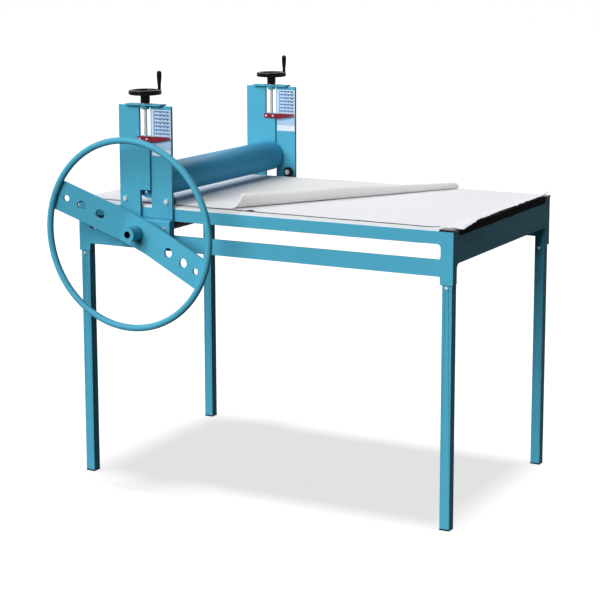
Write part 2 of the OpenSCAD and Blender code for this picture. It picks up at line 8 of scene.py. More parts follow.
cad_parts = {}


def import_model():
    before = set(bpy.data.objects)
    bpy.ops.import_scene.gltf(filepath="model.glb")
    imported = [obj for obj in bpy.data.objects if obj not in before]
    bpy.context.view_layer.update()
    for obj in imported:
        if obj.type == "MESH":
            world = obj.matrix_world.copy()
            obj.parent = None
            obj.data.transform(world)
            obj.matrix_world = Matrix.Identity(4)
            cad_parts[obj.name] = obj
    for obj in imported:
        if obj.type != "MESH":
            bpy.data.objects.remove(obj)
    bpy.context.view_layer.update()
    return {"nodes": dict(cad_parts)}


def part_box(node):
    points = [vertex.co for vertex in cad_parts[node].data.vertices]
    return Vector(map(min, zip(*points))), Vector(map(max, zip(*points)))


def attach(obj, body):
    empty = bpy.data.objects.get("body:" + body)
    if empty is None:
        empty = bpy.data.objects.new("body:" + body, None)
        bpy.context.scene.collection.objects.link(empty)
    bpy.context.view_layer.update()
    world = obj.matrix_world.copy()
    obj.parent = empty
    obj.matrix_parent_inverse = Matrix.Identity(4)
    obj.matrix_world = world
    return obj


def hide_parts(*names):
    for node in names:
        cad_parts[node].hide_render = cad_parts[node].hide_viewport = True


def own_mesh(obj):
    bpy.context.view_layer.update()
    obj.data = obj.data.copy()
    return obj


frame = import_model()
nodes = frame["nodes"]
scene = bpy.context.scene

# Height of the bed's face
BED = 0.700
# The middle of the table, which the cloth is laid out from
MIDDLE = Vector((0.00775, 0.0275, 0.0))
# How far left of the table's middle the roller is parked
PARKED = 0.300
ROLLER_X = MIDDLE.x - PARKED


# Materials
def srgb(r, g, b):
    """A display colour, 0 to 255, as the linear value a shader wants."""
    def one(c):
        c /= 255
        return c / 12.92 if c <= 0.04045 else ((c + 0.055) / 1.055) ** 2.4
    return (one(r), one(g), one(b), 1.0)


class Shader:
    """A material's node tree, with short names for the nodes that the recipes here use."""

    def __init__(self, name, rough, metallic=0.0, **sockets):
        self.mat = bpy.data.materials.new(name)
        self.mat.use_nodes = True
        self.tree = self.mat.node_tree
        self.bsdf = self.tree.nodes["Principled BSDF"]
        self.bsdf.inputs["Roughness"].default_value = rough
        self.bsdf.inputs["Metallic"].default_value = metallic
        for key, value in sockets.items():
            self.bsdf.inputs[key.replace("_", " ")].default_value = value
        self.coords = self.node("ShaderNodeTexCoord").outputs["Object"]

    def node(self, kind, **settings):
        made = self.tree.nodes.new(kind)
        for key, value in settings.items():
            setattr(made, key, value)
        return made

    def link(self, a, b):
        self.tree.links.new(a, b)

    def mapped(self, scale):
        m = self.node("ShaderNodeMapping")
        m.inputs["Scale"].default_value = scale
        self.link(self.coords, m.inputs["Vector"])
        return m.outputs["Vector"]

    def noise(self, scale, detail=3.0, stretch=None):
        n = self.node("ShaderNodeTexNoise")
        n.inputs["Scale"].default_value = scale
        n.inputs["Detail"].default_value = detail
        self.link(self.mapped(stretch) if stretch else self.coords, n.inputs["Vector"])
        return n.outputs["Fac"]

    def ramp(self, fac, stops):
        r = self.node("ShaderNodeValToRGB")
        while len(r.color_ramp.elements) < len(stops):
            r.color_ramp.elements.new(0.5)
        for element, (place, colour) in zip(r.color_ramp.elements, stops):
            element.position = place
            element.color = colour
        self.link(fac, r.inputs["Fac"])
        return r.outputs["Color"]

    def math(self, kind, a, b=None, c=None):
        m = self.node("ShaderNodeMath", operation=kind)
        for socket, value in zip(m.inputs, (a, b, c)):
            if value is None:
                continue
            if isinstance(value, (int, float)):
                socket.default_value = value
            else:
                self.link(value, socket)
        return m.outputs[0]

    def mix(self, fac, a, b):
        m = self.node("ShaderNodeMix", data_type="RGBA")
        for socket, value in ((m.inputs[0], fac), (m.inputs[6], a), (m.inputs[7], b)):
            if isinstance(value, (int, float, tuple)):
                socket.default_value = value
            else:
                self.link(value, socket)
        return m.outputs[2]

    def colour(self, out):
        self.link(out, self.bsdf.inputs["Base Color"])
        return self

    def rough(self, fac, low, high):
        m = self.node("ShaderNodeMapRange")
        m.inputs["To Min"].default_value = low
        m.inputs["To Max"].default_value = high
        self.link(fac, m.inputs["Value"])
        self.link(m.outputs[0], self.bsdf.inputs["Roughness"])
        return self

    def bump(self, height, strength, distance):
        b = self.node("ShaderNodeBump")
        b.inputs["Strength"].default_value = strength
        b.inputs["Distance"].default_value = distance
        self.link(height, b.inputs["Height"])
        self.link(b.outputs["Normal"], self.bsdf.inputs["Normal"])
        return self


def scaled(colour, k):
    """A linear colour made lighter or darker."""
    return tuple(min(1.0, c * k) for c in colour[:3]) + (1.0,)


def powder_coat(name, base, rough=0.42):
    """Baked paint: faint cloudy tone, a fine pebbled skin and a soft gloss."""
    s = Shader(name, rough, Specular_IOR_Level=0.12)
    cloud = s.noise(6.0, 4.0)
    s.colour(s.ramp(cloud, [(0.30, scaled(base, 0.94)), (0.55, base), (0.75, scaled(base, 1.05))]))
    s.rough(s.noise(45.0, 3.0), rough - 0.06, rough + 0.08)
    s.bump(s.noise(650.0, 2.0), 0.10, 0.0004)
    return s.mat


def gloss_paint(name, base):
    """The roller's hard enamel, with the round-and-round marks of turning under it."""
    s = Shader(name, 0.30, Specular_IOR_Level=0.05)
    rings = s.noise(5.0, 3.0, stretch=(1.0, 9.0, 1.0))
    cloud = s.noise(12.0, 3.0)
    both = s.math("ADD", s.math("MULTIPLY", rings, 0.35), s.math("MULTIPLY", cloud, 0.65))
    s.colour(s.ramp(both, [(0.30, scaled(base, 0.95)), (0.5, base), (0.72, scaled(base, 1.04))]))
    s.rough(rings, 0.28, 0.36)
    s.bump(s.noise(24.0, 3.0), 0.03, 0.0002)
    return s.mat


def zinc_plate(name, base, rough):
    """Bare or plated metal with a fine grain."""
    s = Shader(name, rough, metallic=1.0)
    grain = s.noise(240.0, 3.0)
    s.colour(s.ramp(grain, [(0.3, scaled(base, 0.82)), (0.7, scaled(base, 1.05))]))
    s.rough(s.noise(90.0, 2.0), rough - 0.08, rough + 0.14)
    s.bump(grain, 0.06, 0.0002)
    return s.mat


def moulded(name, base, rough, grain_scale, grain_height, specular=0.5):
    """Moulded plastic and other plain surfaces, with a fine grain of the given scale and height."""
    s = Shader(name, rough, Specular_IOR_Level=specular)
    g = s.noise(grain_scale, 2.0)
    s.colour(s.ramp(g, [(0.3, scaled(base, 0.85)), (0.7, scaled(base, 1.25))]))
    s.rough(s.noise(60.0, 2.0), rough - 0.05, rough + 0.08)
    s.bump(g, 0.12, grain_height)
    return s.mat


def plain_weave(name, base, thread, shade, rough=0.85):
    """Canvas: over-and-under threads along X and Y, slubs, and a broad uneven tone."""
    s = Shader(name, rough, Sheen_Weight=0.15, Sheen_Roughness=0.5)
    xyz = s.node("ShaderNodeSeparateXYZ")
    s.link(s.coords, xyz.inputs[0])
    k = math.pi / thread
    wx = s.math("SINE", s.math("MULTIPLY", xyz.outputs[0], k))
    wy = s.math("SINE", s.math("MULTIPLY", xyz.outputs[1], k))
    weave = s.math("MULTIPLY", wx, wy)
    slub_x = s.noise(1.0, 2.0, stretch=(14.0, 700.0, 14.0))
    slub_y = s.noise(1.0, 2.0, stretch=(700.0, 14.0, 14.0))
    slub = s.math("ADD", slub_x, slub_y)
    tone = s.math("ADD", s.math("MULTIPLY", weave, 0.05), s.math("MULTIPLY", slub, 0.5))
    cloud = s.noise(3.2, 4.0)
    fac = s.math("ADD", s.math("MULTIPLY", tone, 0.5), s.math("MULTIPLY", cloud, 0.5))
    s.colour(s.ramp(fac, [(0.30, shade), (0.52, base), (0.75, scaled(base, 1.03))]))
    s.bump(s.math("ADD", weave, slub), 0.25, 0.0002)
    return s.mat


TURQUOISE = srgb(81, 172, 201)
paint = powder_coat("turquoise_coat", TURQUOISE)
roller_paint = gloss_paint("roller_enamel", srgb(72, 168, 213))
black_gloss = moulded("black_gloss", srgb(8, 13, 15), 0.12, 260.0, 0.00001, 0.22)
black_matt = moulded("black_moulded", srgb(16, 20, 23), 0.42, 700.0, 0.0002, 0.2)
black_cap = moulded("black_cap", srgb(14, 21, 30), 0.22, 300.0, 0.00002, 0.5)
zinc = zinc_plate("zinc_plate", srgb(240, 245, 245), 0.46)
rod = zinc_plate("bright_rod", srgb(236, 243, 240), 0.42)
steel = zinc_plate("machined_steel", srgb(112, 118, 124), 0.38)
# Near-black steel for the drive shaft, also put on the hub's bore faces as painted shade in the recess.
dark_steel_and_bore_shade = moulded("blackened_steel_and_bore_shade", srgb(9, 12, 15), 0.45, 200.0, 0.0001, 0.15)
red = powder_coat("pointer_red", srgb(132, 38, 52), 0.38)
board = powder_coat("board_laminate", srgb(236, 236, 236), 0.45)
# Near-black for the board's end faces: painted shade, standing in for the deep shade of the void under the
# bed's end.
board_end_painted_shade = moulded("board_end_painted_shade_black", srgb(8, 9, 11), 0.75, 220.0, 0.0002, 0.08)
canvas = plain_weave("canvas_white", srgb(240, 241, 245), 0.0011, srgb(230, 232, 238))
canvas_cream = plain_weave("canvas_cream", srgb(243, 243, 241), 0.0011, srgb(232, 232, 228))
# Dark blue thread of the near edge's overlock, partly real thread and partly painted shadow under the canvas
# edge.
thread = moulded("hem_thread_and_painted_shadow", srgb(34, 44, 80), 0.8, 500.0, 0.0001, 0.2)
thread_pale = moulded("stitch_thread", srgb(170, 174, 182), 0.8, 500.0, 0.0001)


# The printed plate's left edge and top, and the pitch of its columns and rows
SCALE_LEFT = ROLLER_X + 0.020
SCALE_TOP = BED + 0.236
COLUMN = 0.0104
ROW = 0.00895
# The printed grid from the plate's left edge and top, its first column, and the pale panel below it
GRID_LEFT, GRID_RIGHT = 0.0040, 0.0515
GRID_TOP, GRID_LOW = 0.0022, 0.0745
HEAD_RIGHT = 0.0088
FIRST_RULE = 0.0087
BAND_RISE = 0.0012
BAND_HEIGHT = 0.0044
RULE_WIDTH = 0.0013
PANEL_LOW = 0.0965


def scale_print(name):
    """A printed plate: rules and cells in two blues above, a pale panel and a white strip below."""
    s = Shader(name, 0.30, Specular_IOR_Level=0.5)
    xyz = s.node("ShaderNodeSeparateXYZ")
    s.link(s.coords, xyz.inputs[0])
    x = s.math("SUBTRACT", xyz.outputs[0], SCALE_LEFT)
    z = s.math("SUBTRACT", SCALE_TOP, xyz.outputs[2])

    def rule(value, step, width):
        near = s.math("ABSOLUTE", s.math("SUBTRACT", s.math("FRACT", s.math("DIVIDE", value, step)), 0.5))
        return s.math("LESS_THAN", near, width / step / 2)

    def within(value, low, high):
        return s.math("MULTIPLY", s.math("GREATER_THAN", value, low), s.math("LESS_THAN", value, high))

    across = s.math("SUBTRACT", x, FIRST_RULE)
    grid = s.math("MULTIPLY", within(z, GRID_TOP, GRID_LOW), within(x, GRID_LEFT, GRID_RIGHT))
    band = s.math("MULTIPLY", rule(s.math("ADD", z, BAND_RISE), ROW, BAND_HEIGHT), grid)
    columns = s.math("MULTIPLY", rule(s.math("ADD", across, COLUMN / 2), COLUMN, RULE_WIDTH), grid)
    head = s.math("MULTIPLY", within(x, GRID_LEFT, HEAD_RIGHT), grid)
    white = s.mix(s.noise(30.0, 2.0), srgb(222, 233, 244), srgb(234, 241, 248))
    printed = s.mix(band, white, srgb(100, 156, 212))
    printed = s.mix(head, printed, srgb(156, 192, 226))
    printed = s.mix(columns, printed, srgb(98, 150, 204))
    panel = within(z, GRID_LOW, PANEL_LOW)
    printed = s.mix(panel, printed, srgb(172, 203, 232))
    s.colour(printed)
    s.bump(s.noise(400.0, 2.0), 0.04, 0.0001)
    return s.mat


plate = scale_print("printed_scale")
ink = moulded("scale_ink", srgb(22, 44, 92), 0.4, 300.0, 0.00005)


def dress(material, *names):
    """Gives the named CAD pieces one material."""
    for name in names:
        data = nodes[name].data
        data.materials.clear()
        data.materials.append(material)


dress(paint, "front_apron", "rear_apron", "left_end_panel", "right_end_panel", "leg_front_left",
      "leg_front_right", "leg_rear_left", "leg_rear_right", "front_post", "rear_post", "front_cap",
      "rear_cap", "front_bracket", "rear_bracket", "wheel_rim", "wheel_bar", "wheel_hub",
      "front_block", "rear_block")
dress(roller_paint, "pressing_roller")
dress(black_gloss, "front_handwheel", "rear_handwheel", "front_handle", "rear_handle")
dress(black_cap, "corner_front_left", "corner_front_right", "corner_rear_left", "corner_rear_right")
dress(black_matt, "foot_front_left", "foot_front_right", "foot_rear_left", "foot_rear_right",
      "guide_front_left", "guide_front_right", "guide_rear_left", "guide_rear_right")
dress(zinc, "leg_bolts", "bracket_bolts", "guide_screws", "pointer_rivets", "front_collar",
      "rear_collar")
dress(rod, "front_spindle", "rear_spindle")
dress(steel, "front_rack", "rear_rack", "front_pinion", "rear_pinion")
dress(dark_steel_and_bore_shade, "drive_shaft")
dress(red, "front_pointer", "rear_pointer")
dress(plate, "front_scale", "rear_scale")
dress(board, "bed_board")


def dress_faces(name, material, chosen):
    """A second material on the faces for which chosen(centre, normal) holds."""
    data = nodes[name].data
    data.materials.append(material)
    for face in data.polygons:
        if chosen(face.center, face.normal):
            face.material_index = len(data.materials) - 1


# Distances from the table's middle beyond which a face is on the board's end or the roller's axle
BOARD_END_X = 0.48
ROLLER_END_Y = 0.3005
# Faces nearer to the drive wheel's axis than this are in the hub's bore, which is made near-black as painted
# shade
BORE_REACH = 0.012
hub_low, hub_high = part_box("wheel_hub")
hub_axis = (hub_low + hub_high) / 2


def at_board_end(centre, normal):
    return abs(normal.x) > 0.9 and abs(centre.x - MIDDLE.x) > BOARD_END_X


def past_roller_end(centre, normal):
    return abs(centre.y - MIDDLE.y) > ROLLER_END_Y


def in_hub_bore(centre, normal):
    from_axis = math.hypot(centre.x - hub_axis.x, centre.z - hub_axis.z)
    return abs(normal.y) < 0.5 and from_axis < BORE_REACH


# The board's end faces get the near-black painted shade.
dress_faces("bed_board", board_end_painted_shade, at_board_end)
dress_faces("pressing_roller", paint, past_roller_end)
# Near-black on the hub's bore faces: painted shade in the recess.
dress_faces("wheel_hub", dark_steel_and_bore_shade, in_hub_bore)


# Edges of the CAD pieces
def soften(name, width):
    """Small rounded edges, so folded sheet and tube catch the light."""
    o = nodes[name]
    weld = o.modifiers.new("weld", "WELD")
    weld.merge_threshold = 0.00001
    bevel = o.modifiers.new("edge", "BEVEL")
    bevel.width = width
    bevel.segments = 2
    bevel.limit_method = "ANGLE"
    bevel.angle_limit = math.radians(50)
    bevel.harden_normals = False


TUBE_EDGE = 0.0015
SHEET_EDGE = 0.0006
for name in ("leg_front_left", "leg_front_right", "leg_rear_left", "leg_rear_right"):
    soften(name, TUBE_EDGE)
for name in ("front_apron", "rear_apron", "left_end_panel", "right_end_panel", "front_post", "rear_post",
             "front_bracket", "rear_bracket", "front_cap", "rear_cap", "front_block", "rear_block"):
    soften(name, SHEET_EDGE)


# Cloth
def mesh_object(name, points, faces, materials, thickness=0.0, smooth=True):
    """A mesh from points given from the table's middle, thickened if it is cloth."""
    data = bpy.data.meshes.new(name)
    data.from_pydata([Vector(p) + MIDDLE for p in points], [], faces)
    data.update()
    for material in materials:
        data.materials.append(material)
    if smooth:
        data.polygons.foreach_set("use_smooth", [True] * len(data.polygons))
    o = bpy.data.objects.new(name, data)
    scene.collection.objects.link(o)
    if thickness:
        solid = o.modifiers.new("thickness", "SOLIDIFY")
        solid.thickness = thickness
        solid.offset = 1.0
    return o


def grid_faces(columns, rows, keep=None):
    """The quads of a grid of points, or only those for which keep(column, row) holds."""
    faces = []
    for j in range(rows):
        for i in range(columns):
            if keep and not keep(i, j):
                continue
            a = j * (columns + 1) + i
            faces.append((a, a + 1, a + columns + 2, a + columns + 1))
    return faces


def wander(x, y, seed):
    """Smooth noise between about -1 and 1."""
    return noise.noise(Vector((x, y, seed)))


def between(table, t):
    """Linear look-up in a list of (place, value)."""
    for (a, va), (b, vb) in zip(table, table[1:]):
        if t <= b:
            return va + (vb - va) * max(0.0, (t - a) / (b - a))
    return table[-1][1]


def smooth_step(a, b, t):
    t = min(1.0, max(0.0, (t - a) / (b - a)))
    return t * t * (3 - 2 * t)


# Where the bed canvas's right hem runs: (place across the bed, distance from the middle)
END_HEM = [
    (-0.296, 0.5255), (-0.250, 0.5205), (-0.206, 0.5158), (-0.185, 0.5125), (-0.165, 0.5090),
    (-0.130, 0.5108), (-0.093, 0.5096), (-0.070, 0.5078), (-0.033, 0.5074), (0.000, 0.5092),
    (0.042, 0.5078), (0.070, 0.5092), (0.105, 0.5075), (0.150, 0.5088), (0.199, 0.5086),
    (0.250, 0.5080), (0.300, 0.5085),
]
# How far the near hem steps in round the corner plate: (place along the bed, step)
NEAR_STEP = [
    (-0.600, 0.0), (0.440, 0.0), (0.460, 0.0120), (0.480, 0.0175), (0.490, 0.0150), (0.500, 0.0070),
    (0.512, 0.0), (0.526, -0.0065),
]
# The near hem's line: its place at the level point, and how much it slants
NEAR_HEM_Y = -0.2800
NEAR_HEM_SLANT = 0.0150
NEAR_HEM_LEVEL_X = -0.14
# Where the far hem and the left hem run, before they wander
FAR_HEM_Y = 0.2960
LEFT_HEM_X = -0.5150
# Where the canvas starts to lift and by how much, at its left end, right end and far right corner
LEFT_LIFT_X = 0.490
LEFT_LIFT = 0.0022
RIGHT_CURL_X = (0.476, 0.507)
RIGHT_CURL = 0.0038
RIGHT_CURL_Y = (-0.270, -0.180)
CORNER_CURL = 0.0040
CORNER_CURL_Y = (0.250, 0.292)
# The near hem's ripples, and the one lift in it beside the fold
RIPPLE = 0.0022
RIPPLE_DEPTH = 0.012
LENS_X = -0.027
LENS_HEIGHT = 0.0032
LENS_WIDTH = 0.010
LENS_DEPTH = 0.016
# The old crease across the bed
CREASE_X = 0.276
CREASE_SLANT = 0.130
CREASE_LEVEL_Y = -0.26
CREASE_WIDTH = 0.0012
CREASE_HEIGHT = 0.0008
BED_CANVAS_THICK = 0.0011
LOOSE_CANVAS_THICK = 0.0010
CLOTH_COLUMNS = 330
CLOTH_ROWS = 130


def near_hem(x):
    """Place across the bed of the near hem, at a place along it."""
    y = NEAR_HEM_Y - NEAR_HEM_SLANT * (x - NEAR_HEM_LEVEL_X) + between(NEAR_STEP, x)
    return y + 0.0022 * wander(x * 9, 0.0, 7.7) + 0.0010 * wander(x * 31, 0.0, 2.2)


def end_hem(y):
    """Place along the bed of the right hem, at a place across it."""
    return between(END_HEM, y) + 0.0012 * wander(0.0, y * 34, 4.1) + 0.0012 * wander(0.0, y * 80, 6.6)


def lower_height(x, y):
    """How far the bed's canvas stands off the board: curling hems and one old crease across it."""
    over = max(0.0, -x - LEFT_LIFT_X)
    z = LEFT_LIFT * (0.6 + wander(x * 7, y * 13, 3.0)) * min(1.0, over / 0.010)
    curl = RIGHT_CURL * smooth_step(*RIGHT_CURL_Y, y) + CORNER_CURL * smooth_step(*CORNER_CURL_Y, y)
    ragged = 0.0008 * (1 + wander(x * 9, y * 40, 6.0)) + 0.0013 * wander(0.0, y * 70, 8.3)
    z += (curl + ragged) * smooth_step(*RIGHT_CURL_X, x)
    from_near = max(0.0, y - near_hem(x))
    z += RIPPLE * max(0.0, wander(x * 8, 0.0, 5.5)) * math.exp(-from_near / RIPPLE_DEPTH)
    z += LENS_HEIGHT * math.exp(-((x - LENS_X) / LENS_WIDTH) ** 2 - from_near / LENS_DEPTH)
    crease = abs((x - CREASE_X) + CREASE_SLANT * (y - CREASE_LEVEL_Y)) / CREASE_WIDTH
    return max(0.0, z) + CREASE_HEIGHT * math.exp(-crease * crease)


def lower_cloth():
    """The bed's own canvas: flat on the board, its hems wandering and its ends just over the board's."""
    columns, rows = CLOTH_COLUMNS, CLOTH_ROWS
    points = []
    for j in range(rows + 1):
        v = j / rows
        for i in range(columns + 1):
            u = i / columns
            y = -0.290 + (FAR_HEM_Y + 0.290) * v
            left = LEFT_HEM_X + 0.005 * wander(0.0, y * 9, 1.3)
            x = left + (end_hem(y) - left) * u
            near = near_hem(x)
            y = near + (FAR_HEM_Y + 0.004 * wander(x * 5, 0.0, 9.1) - near) * v
            points.append((x, y, BED + 0.0003 + lower_height(x, y)))
    return mesh_object("bed_canvas", points, grid_faces(columns, rows), [canvas], BED_CANVAS_THICK)


# The fold's line from its near end to its far end, its direction, and the direction away from the roller
FOLD_A = Vector((-0.072, -0.268))
FOLD_B = Vector((0.265, 0.290))
FOLD_U = (FOLD_B - FOLD_A).normalized()
FOLD_N = Vector((FOLD_U.y, -FOLD_U.x))
# The soft roll's height: (share of the way along the fold, height)
FOLD_HEIGHT = [(0.0, 0.0325), (0.45, 0.0295), (0.74, 0.0215), (1.0, 0.0155)]
# Height of the loose canvas where it lies flat, its two ends, its far edge and where it is cut off
LAY = BED + 0.0015
LOOSE_LEFT, LOOSE_RIGHT = -0.470, 0.520
LOOSE_FAR = 0.2900
LOOSE_CUT = 0.2915


def fold_section(height):
    """The fold across its line: (length of cloth, distance behind the line, height), from the bed up."""
    r = height / 2
    section = []
    steps = 26
    for k in range(steps + 1):
        a = math.pi * k / steps
        section.append((r - r * abs(math.sin(a)) ** 0.9, r - r * math.cos(a)))
    tail = height * 5.2
    flat = 0.0012
    for k in range(1, 31):
        t = k / 30
        section.append((r + (tail - r) * t, flat + (height - flat) * (1 + math.cos(math.pi * t ** 0.85)) / 2))
    section.append((1.2, flat))
    out = [(0.0, r, 0.0)]
    total = 0.0
    for (p0, z0), (p1, z1) in zip(section, section[1:]):
        total += math.hypot(p1 - p0, z1 - z0)
        out.append((total, p1, z1))
    return r, out


def upper_cloth():
    """The loose canvas: one layer under the roller, its right part folded back over a soft roll."""
    nx, ny = CLOTH_COLUMNS, CLOTH_ROWS
    x0, x1 = LOOSE_LEFT, LOOSE_RIGHT
    y0, y1 = FOLD_A.y, LOOSE_FAR
    sections = {}
    points, keep_point = [], []
    for j in range(ny + 1):
        for i in range(nx + 1):
            x = x0 + (x1 - x0) * i / nx
            y = y0 + (y1 - y0) * j / ny
            q = Vector((x, y)) - FOLD_A
            side = q.dot(FOLD_N)
            u = q.dot(FOLD_U)
            share = min(1.0, max(0.0, u / (FOLD_B - FOLD_A).length))
            key = round(between(FOLD_HEIGHT, share), 4)
            if key not in sections:
                sections[key] = fold_section(key)
            r, section = sections[key]
            s = side + r
            px, py, z = x, y, 0.0
            if s > 0:
                p, z = along(section, s)
                px, py = FOLD_A + FOLD_U * u - FOLD_N * p
            edge = (y - y0) * smooth_step(0.0, 0.02, s) if s > 0 else 1.0
            loose = smooth_step(-0.20, -0.12, px - 0.25 * py)
            z += (0.0002 + 0.0006 * loose) * (1 + wander(px * 9, py * 9, 8.0))
            z += 0.0020 * loose * math.exp(-edge / 0.012) * smooth_step(0.10, 0.25, s)
            points.append((px, py, LAY + z))
            keep_point.append(py <= LOOSE_CUT)

    def keep(i, j):
        a = j * (nx + 1) + i
        return all(keep_point[k] for k in (a, a + 1, a + nx + 1, a + nx + 2))

    faces = grid_faces(nx, ny, keep)
    o = mesh_object("folded_canvas", points, faces, [canvas, canvas_cream], LOOSE_CANVAS_THICK)
    o.modifiers["thickness"].material_offset = 1
    o.modifiers["thickness"].material_offset_rim = 1
    bm = bmesh.new()
    bm.from_mesh(o.data)
    bmesh.ops.delete(bm, geom=[v for v in bm.verts if not v.link_faces], context="VERTS")
    bm.to_mesh(o.data)
    bm.free()
    cell = (x1 - x0) / nx * (y1 - y0) / ny
    return o, (x1 - x0, y1 - y0), cell * len(faces)


def along(section, s):
    """Distance behind the fold's line and height, after a length of cloth."""
    for (s0, p0, z0), (s1, p1, z1) in zip(section, section[1:]):
        if s <= s1:
            t = (s - s0) / (s1 - s0)
            return p0 + (p1 - p0) * t, z0 + (z1 - z0) * t
    return section[-1][1], section[-1][2]


def stitches_on(name, places, size, material):
    """Small blocks of thread at (x, y, height, turn)."""
    bm = bmesh.new()
    for x, y, z, turn in places:
        m = Matrix.Translation(Vector((x, y, z)) + MIDDLE) @ Matrix.Rotation(turn, 4, "Z")
        bmesh.ops.create_cube(bm, size=1.0, matrix=m @ Matrix.Diagonal((*size, 1.0)))
    data = bpy.data.meshes.new(name)
    bm.to_mesh(data)
    bm.free()
    data.materials.append(material)
    o = bpy.data.objects.new(name, data)
    scene.collection.objects.link(o)
    return o


# How far inside the hem the stitches run, their pitch and their size
HEM_WIDTH = 0.0075
STITCH_PITCH = 0.0052
STITCH_SIZE = (0.0024, 0.0007, 0.0005)
# The overlock's dark threads along the near edge, partly real thread and partly painted shadow under the
# canvas edge, stacked into the gap where the edge lifts: their pitch, size, spacing up a lifted edge, and
# where they end
OVERLOCK_PITCH = 0.0021
OVERLOCK_SIZE = (0.0022, 0.0010, 0.0015)
OVERLOCK_LAYER = 0.0012
OVERLOCK_END = 0.462


def hem_stitches():
    """Stitches just inside the bed canvas's near and right hems, and a dark overlocked near edge whose thread
    is also painted shadow under the canvas edge, stacked down to the board where the edge lifts.
    """
    top = BED + 0.0014
    rows, lock = [], []
    x = -0.500
    while x < 0.512:
        y = near_hem(x)
        rows.append((x, y + HEM_WIDTH, top + lower_height(x, y + HEM_WIDTH), 0.0))
        x += STITCH_PITCH
    x = -0.512
    while x < OVERLOCK_END:
        y = near_hem(x) + 0.0004
        lift = lower_height(x, y)
        # Dark threads stacked down to the board under a lifted edge: painted shadow.
        while lift > -0.0001:
            lock.append((x, y, top - 0.0005 + lift, 0.0))
            lift -= OVERLOCK_LAYER
        x += OVERLOCK_PITCH
    y = -0.275
    while y < 0.288:
        x = end_hem(y) - HEM_WIDTH
        rows.append((x, y, top + lower_height(x, y), math.pi / 2))
        y += STITCH_PITCH
    stitches = stitches_on("canvas_stitches", rows, STITCH_SIZE, thread_pale)
    overlock = stitches_on("canvas_overlock_and_painted_shadow", lock, OVERLOCK_SIZE, thread)
    return stitches, overlock


bed_cloth = lower_cloth()
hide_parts("lower_canvas")
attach(bed_cloth, "table")
stitches = hem_stitches()
for piece in stitches:
    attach(piece, "table")

top_cloth, top_flat, top_area = upper_cloth()
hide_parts("upper_canvas")
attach(top_cloth, "table")
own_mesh(top_cloth)


# Printed numbers
NUMBER_COLUMNS = 4
NUMBER_ROWS = 8
NUMBER_SIZE = 0.0060
# The first number's place from the plate's left edge and top
NUMBER_X = 0.0139
NUMBER_Z = 0.0078


def numbers(name, y, body):
    """Four columns of plain numbers on a scale plate."""
    made = []
    for c in range(NUMBER_COLUMNS):
        for r in range(NUMBER_ROWS):
            curve = bpy.data.curves.new(f"{name}_{c}{r}", "FONT")
            curve.body = str((c + 1) * (NUMBER_ROWS + 1 - r))
            curve.size = NUMBER_SIZE
            curve.align_x = "CENTER"
            curve.extrude = 0.00005
            curve.offset = 0.00026
            o = bpy.data.objects.new(f"{name}_{c}{r}", curve)
            scene.collection.objects.link(o)
            place = (SCALE_LEFT + NUMBER_X + COLUMN * c, y, SCALE_TOP - NUMBER_Z - ROW * r)
            o.matrix_world = Matrix.Translation(place) @ Matrix.Rotation(math.pi / 2, 4, "X")
            made.append(o)
    bpy.context.view_layer.update()
    dg = bpy.context.evaluated_depsgraph_get()
    bm = bmesh.new()
    for o in made:
        data = bpy.data.meshes.new_from_object(o.evaluated_get(dg))
        data.transform(o.matrix_world)
        bm.from_mesh(data)
        bpy.data.meshes.remove(data)
        bpy.data.objects.remove(o)
    data = bpy.data.meshes.new(name)
    bm.to_mesh(data)
    bm.free()
    data.materials.clear()
    data.materials.append(ink)
    o = bpy.data.objects.new(name, data)
    scene.collection.objects.link(o)
    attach(o, body)
    return o


INK_RISE = 0.00005
numbers("front_scale_numbers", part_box("front_scale")[0].y - INK_RISE, "carriage")
numbers("rear_scale_numbers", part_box("rear_scale")[0].y - INK_RISE, "carriage")


# Grease nipples
# A nipple's profile: (drop below the block, radius)
NIPPLE = [(0.0, 0.0022), (-0.0016, 0.0022), (-0.0026, 0.0030), (-0.0044, 0.0036), (-0.0064, 0.0038),
          (-0.0080, 0.0034), (-0.0092, 0.0022), (-0.0097, 0.0)]


def nipple(name, node):
    """The pale drop-shaped nipple under a bearing block."""
    low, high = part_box(node)
    turns = 20
    points, faces = [], []
    for drop, radius in NIPPLE:
        for k in range(turns):
            a = 2 * math.pi * k / turns
            x = (low.x + high.x) / 2 + radius * math.cos(a)
            y = (low.y + high.y) / 2 + radius * math.sin(a)
            points.append((x, y, low.z + drop))
    for j in range(len(NIPPLE) - 1):
        for k in range(turns):
            a, b = j * turns + k, j * turns + (k + 1) % turns
            faces.append((a, a + turns, b + turns, b))
    o = mesh_object(name, [Vector(p) - MIDDLE for p in points], faces, [zinc])
    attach(o, "yoke")


nipple("front_nipple", "front_block")
nipple("rear_nipple", "rear_block")


# Camera
# The camera's turn, downward pitch and roll in degrees, and its place from the table's middle
CAMERA_ANGLES = (28.7698, 9.7828, -0.2272)
CAMERA_PLACE = Vector((2.012585, -3.842312, 1.339322))
# The lens as a distance in the photograph's pixels, and the photograph's width in pixels
FOCAL_PIXELS = 1746.2028
PHOTO_PIXELS = 600
SENSOR = 36.0


